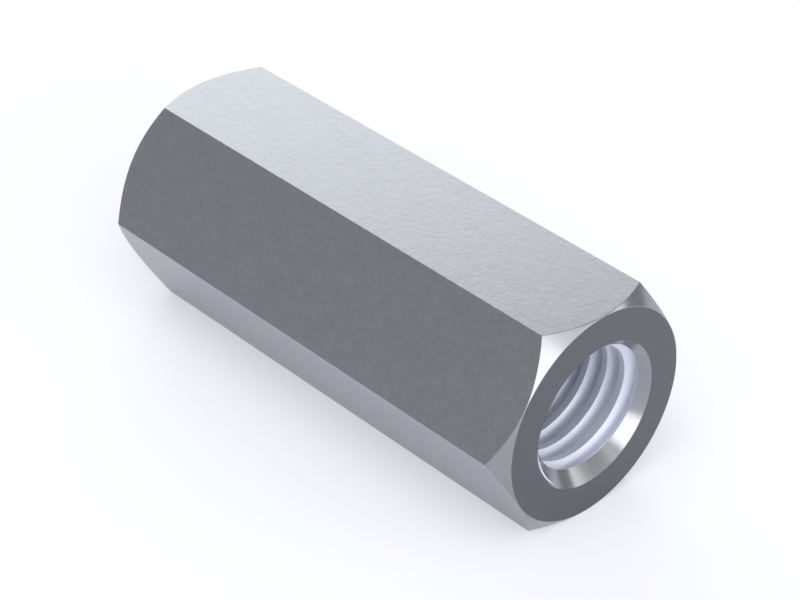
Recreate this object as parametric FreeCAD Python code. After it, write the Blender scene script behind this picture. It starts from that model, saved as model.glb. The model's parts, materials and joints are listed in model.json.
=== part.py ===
import FreeCAD, Part
import math
import os

# Rod coupling: a long hexagonal nut that joins two threaded rods end to end.
# It is cut from drawn hexagonal bar, faced and chamfered at both ends, drilled
# through for an M12 thread and countersunk at both mouths.
#
# Frame: X runs along the bore, Z points up out of the flat on top, and the
# origin lies on the bore's axis, half way along. The coupling rests on the
# flat that faces down. All lengths are millimetres and all angles degrees.

# The bar
across_flats = 18.0
coupling_length = 45.0
side_count = 6

# The turned ends: the chamfer starts on the end face, at a circle that lies
# just inside the flats, and falls away from the face at its own angle.
end_circle_inset = 0.05
end_chamfer_angle = 41.0

# The tapped bore. The wall stays at the drill's size: what the tap cuts into
# it, on each side, is the thread's height.
thread_diameter = 12.0
thread_height = 0.9

# The countersinks: a little wider than the thread, so that a rod starts easily.
countersink_lip = 0.2
countersink_angle = 90.0

# How far a cutting profile runs past the metal that it takes away
tool_overrun = 1.0

half_length = coupling_length / 2
flat_radius = across_flats / 2
corner_radius = flat_radius / math.cos(math.pi / side_count)
end_circle_radius = flat_radius - end_circle_inset
bore_radius = thread_diameter / 2 - thread_height
countersink_radius = thread_diameter / 2 + countersink_lip


def slope(angle):
    """Rise for each unit of run at an angle in degrees."""
    return math.tan(math.radians(angle))


def face_from(points):
    """A flat face inside the closed outline through the points."""
    return Part.Face(Part.makePolygon(points + [points[0]]))


def turned(half_profile):
    """The solid that a lathe makes of a profile and its mirror image.

    The half profile lists (x, radius) points on the positive side of the
    middle plane, from the middle outwards to the axis. The other half is the
    same points mirrored, and the whole is turned once about the X axis.
    """
    mirrored = [(-x, radius) for x, radius in reversed(half_profile)]
    outline = [FreeCAD.Vector(x, radius, 0) for x, radius in mirrored + half_profile]
    axis_point = FreeCAD.Vector(0, 0, 0)
    axis_direction = FreeCAD.Vector(1, 0, 0)
    return face_from(outline).revolve(axis_point, axis_direction, 360)


def hexagonal_bar():
    """The drawn bar, cut to length, with one flat on top and one below."""
    corners = []
    for side in range(side_count):
        angle = 2 * math.pi * side / side_count
        y = corner_radius * math.cos(angle)
        z = corner_radius * math.sin(angle)
        corners.append(FreeCAD.Vector(-half_length, y, z))
    return face_from(corners).extrude(FreeCAD.Vector(coupling_length, 0, 0))


def chamfered_envelope():
    """What the lathe leaves of the bar: a barrel with a cone at each end.

    The cones meet the six flats in hyperbolas, which is what rounds off the
    corners of the hexagon and leaves a round face at each end.
    """
    barrel_radius = corner_radius + tool_overrun
    cone_length = (barrel_radius - end_circle_radius) * slope(end_chamfer_angle)
    half_profile = [
        (half_length - cone_length, barrel_radius),
        (half_length, end_circle_radius),
        (half_length, 0),
    ]
    return turned(half_profile)


def bore_with_countersinks():
    """The metal taken out by the drill and by a countersink at each mouth."""
    cone_slope = slope(countersink_angle / 2)
    countersink_depth = (countersink_radius - bore_radius) / cone_slope
    tool_end = half_length + tool_overrun
    half_profile = [
        (half_length - countersink_depth, bore_radius),
        (tool_end, countersink_radius + tool_overrun * cone_slope),
        (tool_end, 0),
    ]
    return turned(half_profile)


def rod_coupling():
    """The finished coupling, one solid."""
    blank = hexagonal_bar().common(chamfered_envelope())
    finished = blank.cut(bore_with_countersinks())
    return finished.Solids[0]


os.makedirs("parts", exist_ok=True)
coupling = rod_coupling()
coupling.exportStep("parts/rod_coupling.step")

box = coupling.optimalBoundingBox()
print("rod_coupling, valid:", coupling.isValid(), "faces:", len(coupling.Faces))
print(f"size {box.XLength:.2f} x {box.YLength:.2f} x {box.ZLength:.2f} mm")
print(f"volume {coupling.Volume:.0f} cubic mm, bore {2 * bore_radius:.1f} mm")
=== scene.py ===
# %% [markdown]
# # A rod coupling
# The object is a long hexagonal nut that joins two threaded rods end to end. The packed
# model holds its true sizes, so this lesson starts there. The finishes of zinc-plated steel
# come next. Then the same body is made again with what a solid for checking leaves out: the
# thread in the bore and softly broken edges. A pale floor, soft lamps and the camera follow.

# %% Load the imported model
import json
import math
import bmesh
import bpy
from mathutils import Matrix, Vector


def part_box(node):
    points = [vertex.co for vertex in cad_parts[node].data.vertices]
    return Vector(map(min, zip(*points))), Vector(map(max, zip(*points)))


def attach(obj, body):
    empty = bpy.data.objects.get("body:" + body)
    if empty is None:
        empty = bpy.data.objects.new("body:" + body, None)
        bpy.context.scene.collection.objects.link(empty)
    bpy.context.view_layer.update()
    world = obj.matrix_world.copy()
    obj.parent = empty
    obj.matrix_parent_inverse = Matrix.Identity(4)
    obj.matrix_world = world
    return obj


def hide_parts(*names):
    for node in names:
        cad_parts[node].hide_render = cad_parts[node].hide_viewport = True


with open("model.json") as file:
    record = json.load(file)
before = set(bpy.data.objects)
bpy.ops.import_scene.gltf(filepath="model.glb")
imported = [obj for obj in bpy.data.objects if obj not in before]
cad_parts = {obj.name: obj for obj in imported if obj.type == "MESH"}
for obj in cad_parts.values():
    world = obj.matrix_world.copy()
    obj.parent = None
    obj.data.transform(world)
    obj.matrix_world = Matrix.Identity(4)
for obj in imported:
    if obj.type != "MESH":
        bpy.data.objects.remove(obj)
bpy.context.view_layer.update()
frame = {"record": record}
MM = 0.001
low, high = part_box("rod_coupling")
mounts = {mount["name"]: mount for mount in frame["record"]["mounts"]}
HALF_LENGTH = high.x
FLAT_RADIUS = high.z
BORE_RADIUS = mounts["thread_front"]["dims"]["r_mm"] * MM
print(f"length {2 * HALF_LENGTH / MM:.1f} mm, across flats {2 * FLAT_RADIUS / MM:.1f} mm")

# %% [markdown]
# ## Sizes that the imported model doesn't name
# The chamfers and countersinks repeat the solid's own sizes. A chamfer starts on the end face,
# on a circle just inside the flats. A countersink is a little wider than the thread, and its
# cone of 90 degrees is as deep as it is wide beyond the bore. The thread is M12 with its
# coarse pitch of 1.75 mm: a V of 60 degrees whose root is a flat of an eighth of the pitch.
# Zinc-plated bar never has a razor edge, so every outer edge is rounded by a few hundredths
# of a millimetre. That is under a pixel from here, but close up it catches a line of light.

# %% Sizes of the ends, the thread and the edges
END_CIRCLE_INSET = 0.05 * MM
END_CIRCLE_RADIUS = FLAT_RADIUS - END_CIRCLE_INSET
END_CHAMFER_ANGLE = math.radians(41)
THREAD_RADIUS = 6.0 * MM
THREAD_PITCH = 1.75 * MM
THREAD_FLANK_ANGLE = math.radians(30)
THREAD_ROOT_FLAT = THREAD_PITCH / 8
COUNTERSINK_LIP = 0.2 * MM
COUNTERSINK_RADIUS = THREAD_RADIUS + COUNTERSINK_LIP
COUNTERSINK_DEPTH = COUNTERSINK_RADIUS - BORE_RADIUS
EDGE_RADIUS = 0.03 * MM
SIDES = 6

# %% [markdown]
# ## One function for nodes, one for colours
# A material is a small network of nodes. One function adds a node with its settings and its
# links, so each finish below reads as a list of what feeds what. Colours are written as the
# sRGB hex values that a screen shows, and the second function turns them to linear light.

# %% Helpers for every material
def add(tree, kind, inputs=None, **settings):
    """Add a node. An input is set to a number or colour, or linked if it is given a socket."""
    node = tree.nodes.new(kind)
    for name, value in settings.items():
        setattr(node, name, value)
    for name, value in (inputs or {}).items():
        if isinstance(value, bpy.types.NodeSocket):
            tree.links.new(value, node.inputs[name])
        else:
            node.inputs[name].default_value = value
    return node


def linear(hex_colour):
    """An sRGB hex colour as linear red, green, blue and a full alpha, by the sRGB curve."""
    channels = []
    for start in (1, 3, 5):
        value = int(hex_colour[start:start + 2], 16) / 255
        channels.append(value / 12.92 if value <= 0.04045 else ((value + 0.055) / 1.055) ** 2.4)
    return (*channels, 1.0)


def empty_material(name):
    """A material with nothing in it yet, and its node tree."""
    material = bpy.data.materials.new(name)
    material.use_nodes = True
    material.node_tree.nodes.clear()
    return material, material.node_tree


def finish_with(tree, shader):
    """Join the last shader to the material's output."""
    add(tree, "ShaderNodeOutputMaterial", {"Surface": shader.outputs[0]})


print("mid grey in linear light:", round(linear("#808080")[0], 3))

# %% [markdown]
# ## Zinc plate on the drawn flats
# The flats are the skin of cold-drawn bar under a thin bright zinc plate. The drawing die
# leaves them smooth but not polished. To the eye that is a satin grey metal with a fine, soft
# mottling. The real grain of skin and plate is some hundredths of a millimetre, too fine to
# show here, so it is drawn at 0.42 mm. Noise of that size does most of the work: it varies
# the tone and the gloss, and it tilts the surface by a hair, so the grain livens up where the
# flat mirrors the edge of something bright. A second noise of 3 mm takes the rest of the tone
# and clouds it, as plate from one bath is never quite even.

# %% Drawn and plated flats
GRAIN = 0.42 * MM
CLOUD = 3 * MM
NOISE_DETAIL = 2.0
GRAIN_SHARE_OF_TONE = 0.85
GLOSS_SPREAD = 0.03


def zinc_plate(name, darker, lighter, roughness, grain_height, bump_strength):
    """Zinc-plated steel: a clouded tone, a slightly uneven gloss and a fine grain."""
    material, tree = empty_material(name)
    place = add(tree, "ShaderNodeTexCoord").outputs["Object"]
    cloud = add(
        tree,
        "ShaderNodeTexNoise",
        {"Vector": place, "Scale": 1 / CLOUD, "Detail": NOISE_DETAIL},
    )
    grain = add(
        tree,
        "ShaderNodeTexNoise",
        {"Vector": place, "Scale": 1 / GRAIN, "Detail": NOISE_DETAIL},
    )
    mottle = add(
        tree,
        "ShaderNodeMix",
        {"Factor": GRAIN_SHARE_OF_TONE, "A": cloud.outputs["Fac"], "B": grain.outputs["Fac"]},
        data_type="FLOAT",
    )
    tone = add(
        tree,
        "ShaderNodeMix",
        {"Factor": mottle.outputs["Result"], 6: linear(darker), 7: linear(lighter)},
        data_type="RGBA",
    )
    gloss = add(
        tree,
        "ShaderNodeMapRange",
        {
            "Value": grain.outputs["Fac"],
            "To Min": roughness - GLOSS_SPREAD,
            "To Max": roughness + GLOSS_SPREAD,
        },
    )
    relief = add(
        tree,
        "ShaderNodeBump",
        {"Height": grain.outputs["Fac"], "Distance": grain_height, "Strength": bump_strength},
    )
    shader = add(
        tree,
        "ShaderNodeBsdfPrincipled",
        {
            "Base Color": tone.outputs[2],
            "Metallic": 1.0,
            "Roughness": gloss.outputs["Result"],
            "Normal": relief.outputs["Normal"],
        },
    )
    finish_with(tree, shader)
    return material


drawn_flats = zinc_plate(
    "zinc_plated_drawn_flats",
    darker="#909398",
    lighter="#A5A7AD",
    roughness=0.32,
    grain_height=0.010 * MM,
    bump_strength=1.0,
)
print("drawn flats:", drawn_flats.name)

# %% [markdown]
# ## The faced ends
# A facing tool crosses each end and leaves fine rings, one for every turn of the work. The plate
# is duller over that torn grain, and the ends' flat dark grey is painted shade: the plate's own
# grey darkened to stand in for a dark reflection, though here they mirror a white floor.
# A wave texture in rings about X draws the marks. A real feed of 0.1 mm would be about a
# pixel wide, so the rings are drawn at 0.3 mm, which only a closer view shows. The texture
# turns its wave by 20 radians for each unit of distance, and its scale is worked out from
# that and the feed.

# %% Faced and plated ends
TOOL_FEED = 0.3 * MM
WAVE_RADIANS_PER_UNIT = 20
TOOL_MARK_UNEVENNESS = 0.4
TOOL_MARK_HEIGHT = 0.002 * MM
TOOL_MARK_STRENGTH = 0.3
FACED_LEAST_ROUGH = 0.42
FACED_MOST_ROUGH = 0.5


def painted_dark_faced_end_finish():
    """Plated steel that was faced on a lathe: matt, faintly ringed, and painted dark as shade."""
    material, tree = empty_material("zinc_plated_faced_ends")
    place = add(tree, "ShaderNodeTexCoord").outputs["Object"]
    rings = add(
        tree,
        "ShaderNodeTexWave",
        {
            "Vector": place,
            "Scale": 2 * math.pi / (WAVE_RADIANS_PER_UNIT * TOOL_FEED),
            "Distortion": TOOL_MARK_UNEVENNESS,
        },
        wave_type="RINGS",
        rings_direction="X",
    )
    relief = add(
        tree,
        "ShaderNodeBump",
        {
            "Height": rings.outputs["Fac"],
            "Distance": TOOL_MARK_HEIGHT,
            "Strength": TOOL_MARK_STRENGTH,
        },
    )
    grain = add(
        tree,
        "ShaderNodeTexNoise",
        {"Vector": place, "Scale": 1 / GRAIN, "Detail": NOISE_DETAIL},
    )
    gloss = add(
        tree,
        "ShaderNodeMapRange",
        {
            "Value": grain.outputs["Fac"],
            "To Min": FACED_LEAST_ROUGH,
            "To Max": FACED_MOST_ROUGH,
        },
    )
    # The base grey below is painted shade, darker than the plate's own grey, for the dark that
    # the ends seem to mirror.
    shader = add(
        tree,
        "ShaderNodeBsdfPrincipled",
        {
            "Base Color": linear("#696A6E"),
            "Metallic": 1.0,
            "Roughness": gloss.outputs["Result"],
            "Normal": relief.outputs["Normal"],
        },
    )
    finish_with(tree, shader)
    return material


faced_ends_painted_dark = painted_dark_faced_end_finish()
print("faced ends:", faced_ends_painted_dark.name)

# %% [markdown]
# ## The turned cones and the tapped bore
# A chamfering tool and a countersink burnish the metal they cut. Under the plate these cones
# have the flats' own grey, but they are glossier than anything else on the part and carry
# its sharpest highlights. The tap tears the metal a little, so the thread is duller. Light
# that bounces about inside the bore keeps it bright, and a pale cool tone stands in for that.

# %% Turned cones and tapped bore
CUT_GRAIN_HEIGHT = 0.002 * MM
CUT_GRAIN_STRENGTH = 0.3

turned_cones = zinc_plate(
    "zinc_plated_turned_cones",
    darker="#939598",
    lighter="#9C9DA0",
    roughness=0.19,
    grain_height=CUT_GRAIN_HEIGHT,
    bump_strength=CUT_GRAIN_STRENGTH,
)
# The bore's pale cool grey is painted light: far paler than the plate's own grey, it stands in
# for the light that bounces about inside the bore.
tapped_bore_painted_light = zinc_plate(
    "zinc_plated_tapped_bore",
    darker="#E3E5EE",
    lighter="#ECEEF7",
    roughness=0.62,
    grain_height=CUT_GRAIN_HEIGHT,
    bump_strength=CUT_GRAIN_STRENGTH,
)
DRAWN, FACED, TURNED, TAPPED = range(4)
finishes = [drawn_flats, faced_ends_painted_dark, turned_cones, tapped_bore_painted_light]
print("finishes:", [finish.name for finish in finishes])

# %% [markdown]
# ## The body
# The real body is hexagonal bar that was chamfered, drilled and countersunk on a lathe. A
# Boolean of a prism and a cone would do, but its edges would then need a bevel that breaks
# down where the chamfer thins out to nothing. Here the section is written down instead, for
# one angle round the axis at a time. The flat's distance from the axis changes with the
# angle, so the corner between flat and chamfer moves along X, and a hyperbola appears by
# itself. Each corner is rounded within its section, by no more than its neighbours allow.
# The mesh is first made in millimetres, a thousand times too large, because some of
# Blender's modifiers take faces this small for nothing. It is brought to size at the end.

# %% Distance from the axis to the hexagon's outline
half_side = math.pi / SIDES
corner_centre = (FLAT_RADIUS - EDGE_RADIUS) / math.cos(half_side)
corner_reach = math.atan2(
    EDGE_RADIUS * math.sin(half_side), corner_centre + EDGE_RADIUS * math.cos(half_side)
)


def hexagon_radius(angle):
    """Distance from the axis to the bar's outline, whose corners are small arcs."""
    from_corner = abs((angle + half_side) % (2 * half_side) - half_side)
    if from_corner > corner_reach:
        return FLAT_RADIUS / math.cos(half_side - from_corner)
    across = corner_centre * math.sin(from_corner)
    return corner_centre * math.cos(from_corner) + math.sqrt(EDGE_RADIUS**2 - across**2)


print(f"across corners {2 * hexagon_radius(0) / MM:.2f} mm")

# %% One section of the body
ROUNDING_STEPS = 3
LARGEST_SETBACK_SHARE = 0.45


def section(angle):
    """The closed section at one angle: corners (x, radius) and the finish that follows each."""
    outside = hexagon_radius(angle)
    chamfer_foot = HALF_LENGTH - (outside - END_CIRCLE_RADIUS) * math.tan(END_CHAMFER_ANGLE)
    bore_end = HALF_LENGTH - COUNTERSINK_DEPTH
    return [
        (bore_end, BORE_RADIUS, TURNED),
        (HALF_LENGTH, COUNTERSINK_RADIUS, FACED),
        (HALF_LENGTH, END_CIRCLE_RADIUS, TURNED),
        (chamfer_foot, outside, DRAWN),
        (-chamfer_foot, outside, TURNED),
        (-HALF_LENGTH, END_CIRCLE_RADIUS, FACED),
        (-HALF_LENGTH, COUNTERSINK_RADIUS, TURNED),
        (-bore_end, BORE_RADIUS, TAPPED),
    ]


def softened(corners):
    """The same section with its outer corners rounded, each as a short curve of points."""
    points = []
    for index, (x, radius, finish) in enumerate(corners):
        corner = Vector((x, radius))
        if radius == BORE_RADIUS:
            points.append((corner, finish))
            continue
        before = Vector(corners[index - 1][:2]) - corner
        after = Vector(corners[(index + 1) % len(corners)][:2]) - corner
        room = LARGEST_SETBACK_SHARE * min(before.length, after.length)
        setback = min(EDGE_RADIUS, room)
        start = before.normalized() * setback
        end = after.normalized() * setback
        for step in range(ROUNDING_STEPS + 1):
            share = step / ROUNDING_STEPS
            bend = start * (1 - share) ** 2 + end * share**2
            points.append((corner + bend, finish))
    return points


print(f"{len(softened(section(0)))} points in each section")

# %% The body as a mesh
STEPS_PER_FLAT = 36


def section_angles():
    """Angles of the sections: a few round each corner, and over each flat a row between them.

    The steps over a flat shrink towards its corners. Next to the narrow strips there, wide
    ones would rule the shading and leave a crease down the middle of each chamfer.
    """
    flat_width = 2 * (half_side - corner_reach)
    angles = []
    for side in range(SIDES):
        corner = 2 * half_side * side
        for step in range(ROUNDING_STEPS):
            angles.append(corner + corner_reach * (2 * step / ROUNDING_STEPS - 1))
        for step in range(STEPS_PER_FLAT):
            share = (1 - math.cos(math.pi * step / STEPS_PER_FLAT)) / 2
            angles.append(corner + corner_reach + flat_width * share)
    return angles


def new_object(name, vertices, faces, face_finishes):
    """An object from plain lists, with one finish for each face, in millimetres for now."""
    mesh = bpy.data.meshes.new(name)
    mesh.from_pydata([Vector(vertex) / MM for vertex in vertices], [], faces)
    for finish in finishes:
        mesh.materials.append(finish)
    mesh.polygons.foreach_set("material_index", face_finishes)
    thing = bpy.data.objects.new(name, mesh)
    bpy.context.scene.collection.objects.link(thing)
    return thing


def round_the_axis(x, radius, angle):
    """The point at a distance along the axis, a radius and an angle round it."""
    return (x, radius * math.cos(angle), radius * math.sin(angle))


def plain_body():
    """The coupling before tapping: every section joined to the next one round the axis."""
    angles = section_angles()
    sections = [softened(section(angle)) for angle in angles]
    count = len(sections[0])
    vertices = []
    for angle, points in zip(angles, sections):
        vertices += [round_the_axis(x, radius, angle) for (x, radius), _ in points]
    faces = []
    face_finishes = []
    for here in range(len(angles)):
        there = (here + 1) % len(angles)
        for point in range(count):
            after = (point + 1) % count
            first, second = here * count, there * count
            faces.append((first + point, first + after, second + after, second + point))
            face_finishes.append(sections[here][point][1])
    return new_object("threaded_coupling", vertices, faces, face_finishes)


coupling = plain_body()
print(f"body before tapping: {len(coupling.data.polygons)} faces")

# %% [markdown]
# ## The thread
# A tap cuts the thread by winding a V-shaped groove along the bore, and the modelling does
# the same: a long V is swept into a helix that runs out past both ends, and a Boolean takes
# it away. The groove then fades out across each countersink, as it does on the real part.
# The angle at which it starts turns the whole thread, and so the places where it fades out.
# Displacing the bore's wall would be quicker but would smear the groove's sharp edges.

# %% The tap and its cut
STEPS_PER_TURN = 170
TAP_START_ANGLE = math.radians(173)
TAP_OVERRUN = 1.5 * THREAD_PITCH
TAP_OVERLAP = 0.2 * MM


def helical_tap():
    """A V-shaped bar wound right-handed round the axis, from past one end to past the other."""
    reach = HALF_LENGTH + TAP_OVERRUN
    inner_radius = BORE_RADIUS - TAP_OVERLAP
    half_root = THREAD_ROOT_FLAT / 2
    half_mouth = half_root + (THREAD_RADIUS - inner_radius) * math.tan(THREAD_FLANK_ANGLE)
    profile = [
        (-half_mouth, inner_radius),
        (-half_root, THREAD_RADIUS),
        (half_root, THREAD_RADIUS),
        (half_mouth, inner_radius),
    ]
    steps = round(2 * reach / THREAD_PITCH * STEPS_PER_TURN)
    vertices = []
    for step in range(steps + 1):
        middle = -reach + THREAD_PITCH * step / STEPS_PER_TURN
        angle = TAP_START_ANGLE + 2 * math.pi * step / STEPS_PER_TURN
        vertices += [round_the_axis(middle + x, radius, angle) for x, radius in profile]
    corners = len(profile)
    first_end = tuple(reversed(range(corners)))
    last_end = tuple(corners * steps + corner for corner in range(corners))
    faces = [first_end, last_end]
    for step in range(steps):
        here, there = corners * step, corners * (step + 1)
        for corner in range(corners):
            after = (corner + 1) % corners
            faces.append((here + corner, here + after, there + after, there + corner))
    return new_object("tap", vertices, faces, [TAPPED] * len(faces))


def facing_outwards(mesh):
    """Turn the faces outwards, and give the volume they enclose."""
    work = bmesh.new()
    work.from_mesh(mesh)
    bmesh.ops.recalc_face_normals(work, faces=work.faces)
    volume = work.calc_volume(signed=True)
    work.to_mesh(mesh)
    work.free()
    return volume


def baked(thing):
    """The object's mesh with all its modifiers in it."""
    graph = bpy.context.evaluated_depsgraph_get()
    mesh = bpy.data.meshes.new_from_object(thing.evaluated_get(graph))
    thing.modifiers.clear()
    thing.data = mesh
    return mesh


tap = helical_tap()
facing_outwards(tap.data)
uncut_volume = facing_outwards(coupling.data)
cut = coupling.modifiers.new("tapping", "BOOLEAN")
cut.operation = "DIFFERENCE"
cut.solver = "EXACT"
cut.object = tap
baked(coupling)
bpy.data.objects.remove(tap)
tapped_volume = facing_outwards(coupling.data)
print(f"the tap took {uncut_volume - tapped_volume:.0f} cubic mm out of {uncut_volume:.0f}")

# %% [markdown]
# ## Shading
# Curved surfaces are shaded smooth and real edges stay crisp: any edge where the surface
# turns by more than the angle below is marked sharp, and so is the line where the thread
# runs out in a countersink, at whatever angle. A weighted normal then lets the large faces
# rule at each point, so flats and cones keep their true shading up to their rounded edges.

# %% Smooth and sharp
SHARP_ANGLE = math.radians(28)


def mark_thread_ends(mesh):
    """Mark the edges between the thread and the turned cones as sharp."""
    work = bmesh.new()
    work.from_mesh(mesh)
    marked = 0
    for edge in work.edges:
        if {face.material_index for face in edge.link_faces} == {TURNED, TAPPED}:
            edge.smooth = False
            marked += 1
    work.to_mesh(mesh)
    work.free()
    return marked


for polygon in coupling.data.polygons:
    polygon.use_smooth = True
coupling.data.set_sharp_from_angle(angle=SHARP_ANGLE)
print(f"{mark_thread_ends(coupling.data)} edges where the thread runs out")
weighted = coupling.modifiers.new("weighted normals", "WEIGHTED_NORMAL")
weighted.keep_sharp = True
baked(coupling)
coupling.data.transform(Matrix.Scale(MM, 4))
coupling.data.name = "threaded_coupling"
coupling.data.calc_loop_triangles()
print(f"{len(coupling.data.loop_triangles)} triangles in the finished coupling")

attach(coupling, "root")
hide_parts("rod_coupling")

# %% [markdown]
# ## The floor
# A plain white floor, wide enough to fill the view from any side. It is matt paper, so it
# keeps the coupling's soft shadow. More lamps would turn it white but would also glare on the
# metal, so a share of what the camera and the metal see of it is a plain white of strength 1.
# The Light Path node tells those rays apart from the light that the paper scatters. The paper
# is a little cool, and the underside of the coupling mirrors that.

# %% Floor
FLOOR_REACH = 4.0
FLOOR_GAP = 0.01 * MM
FLOOR_LIFT = 0.3


def floor_finish():
    """Matt paper, part of the way to plain white for the camera, mirrors and glass."""
    material, tree = empty_material("studio_floor_paper")
    paper = add(
        tree,
        "ShaderNodeBsdfPrincipled",
        {"Base Color": linear("#F1F3FD"), "Roughness": 1.0, "Specular IOR Level": 0.0},
    )
    white = add(tree, "ShaderNodeEmission", {"Color": linear("#FFFFFF"), "Strength": 1.0})
    ray = add(tree, "ShaderNodeLightPath").outputs
    seen = add(
        tree,
        "ShaderNodeMath",
        {0: ray["Is Camera Ray"], 1: ray["Is Glossy Ray"]},
        operation="MAXIMUM",
    )
    seen_or_through = add(
        tree,
        "ShaderNodeMath",
        {0: seen.outputs[0], 1: ray["Is Transmission Ray"]},
        operation="MAXIMUM",
    )
    share = add(
        tree,
        "ShaderNodeMath",
        {0: seen_or_through.outputs[0], 1: FLOOR_LIFT},
        operation="MULTIPLY",
    )
    shader = add(
        tree,
        "ShaderNodeMixShader",
        {0: share.outputs[0], 1: paper.outputs[0], 2: white.outputs[0]},
    )
    finish_with(tree, shader)
    return material


def floor_sheet():
    """One large square under the coupling."""
    mesh = bpy.data.meshes.new("studio_floor")
    work = bmesh.new()
    bmesh.ops.create_grid(
        work,
        x_segments=1,
        y_segments=1,
        size=FLOOR_REACH,
        matrix=Matrix.Translation((0, 0, low.z - FLOOR_GAP)),
    )
    work.to_mesh(mesh)
    work.free()
    mesh.materials.append(floor_finish())
    sheet = bpy.data.objects.new("studio_floor", mesh)
    bpy.context.scene.collection.objects.link(sheet)
    return sheet


floor_sheet()
print(f"floor at {(low.z - FLOOR_GAP) / MM:.2f} mm")

# %% [markdown]
# ## Soft light
# Metal shows what stands round it more than its own colour. An even world of middling
# brightness gives the dark flat and the even tone of the end, and large soft lamps give the
# rest. A wide one low behind the far end is what the top flat mirrors. A high one in front
# lights the floor, and the coupling only gently. Two off the near end draw the highlights on
# the turned cones: a bright one that both the chamfer and the countersink catch, and a long
# weaker strip, tilted as the cones' reflections run. Each lamp is written as the brightness
# that a mirror would show, over the patch of sky that it fills.

# %% Lamps and world
LAMP_DISTANCE = 1.5
WORLD_LEVEL = 0.47


def softbox(name, azimuth, elevation, width, height, brightness, tilt=0):
    """A rectangular lamp aimed at the middle. Angles are degrees, azimuth from +X to +Y.

    Its width and height are the angles that it fills, seen from the middle.
    """
    across = 2 * LAMP_DISTANCE * math.tan(math.radians(width) / 2)
    tall = 2 * LAMP_DISTANCE * math.tan(math.radians(height) / 2)
    light = bpy.data.lights.new(name, "AREA")
    light.shape = "RECTANGLE"
    light.size = across
    light.size_y = tall
    light.energy = brightness * math.pi * across * tall
    turn, rise = math.radians(azimuth), math.radians(elevation)
    direction = Vector(
        (math.cos(rise) * math.cos(turn), math.cos(rise) * math.sin(turn), math.sin(rise))
    )
    aim = direction.to_track_quat("Z", "Y").to_matrix()
    lamp = bpy.data.objects.new(name, light)
    lamp.matrix_world = (aim @ Matrix.Rotation(math.radians(tilt), 3, "Z")).to_4x4()
    lamp.location = direction * LAMP_DISTANCE
    bpy.context.scene.collection.objects.link(lamp)
    print(f"{name}: {across:.2f} by {tall:.2f} m, {light.energy:.1f} W")


softbox("top_flat_softbox", azimuth=157, elevation=21, width=66, height=34, brightness=2.2)
softbox("floor_softbox", azimuth=-62, elevation=56, width=60, height=60, brightness=1.8)
softbox("cone_softbox", azimuth=-16, elevation=14, width=36, height=30, brightness=3.2)
softbox(
    "chamfer_softbox", azimuth=30.5, elevation=22, width=60, height=19.4, brightness=1.7, tilt=-13
)

world = bpy.data.worlds.new("studio")
bpy.context.scene.world = world
world.use_nodes = True
world.node_tree.nodes.clear()
surround = add(
    world.node_tree,
    "ShaderNodeBackground",
    {"Color": linear("#FCFDFF"), "Strength": WORLD_LEVEL},
)
add(world.node_tree, "ShaderNodeOutputWorld", {"Surface": surround.outputs[0]})
bpy.context.scene.view_settings.view_transform = "Standard"

# %% [markdown]
# ## The camera
# The camera looks down on the coupling from its front right with a long lens, a little
# tilted. Its place was found by fitting the coupling's corners and end circle to the picture.

# %% Camera
CAMERA_AZIMUTH = math.radians(45.509)
CAMERA_ELEVATION = math.radians(34.612)
CAMERA_ROLL = math.radians(-1.812)
CAMERA_AIM = Vector((1.11, 0.302, -0.841)) * MM
CAMERA_DISTANCE = 198.45 * MM
CAMERA_LENS = 112.5
CAMERA_SENSOR_WIDTH = 36
CAMERA_CLIP_START = 0.01


def photo_camera():
    """A camera that looks at the aim point from an azimuth and an elevation, rolled a little."""
    back = Vector(
        (
            math.sin(CAMERA_AZIMUTH) * math.cos(CAMERA_ELEVATION),
            -math.cos(CAMERA_AZIMUTH) * math.cos(CAMERA_ELEVATION),
            math.sin(CAMERA_ELEVATION),
        )
    )
    level_right = Vector((math.cos(CAMERA_AZIMUTH), math.sin(CAMERA_AZIMUTH), 0))
    level_up = back.cross(level_right)
    up = level_up * math.cos(CAMERA_ROLL) + level_right * math.sin(CAMERA_ROLL)
    right = up.cross(back)
    camera = bpy.data.objects.new("camera", bpy.data.cameras.new("camera"))
    camera.data.lens = CAMERA_LENS
    camera.data.sensor_width = CAMERA_SENSOR_WIDTH
    camera.data.clip_start = CAMERA_CLIP_START
    placing = Matrix((right, up, back)).transposed().to_4x4()
    placing.translation = CAMERA_AIM + back * CAMERA_DISTANCE
    camera.matrix_world = placing
    bpy.context.scene.collection.objects.link(camera)
    return camera


camera = photo_camera()
bpy.context.scene.camera = camera
print("camera at", [round(value / MM, 1) for value in camera.location], "mm")
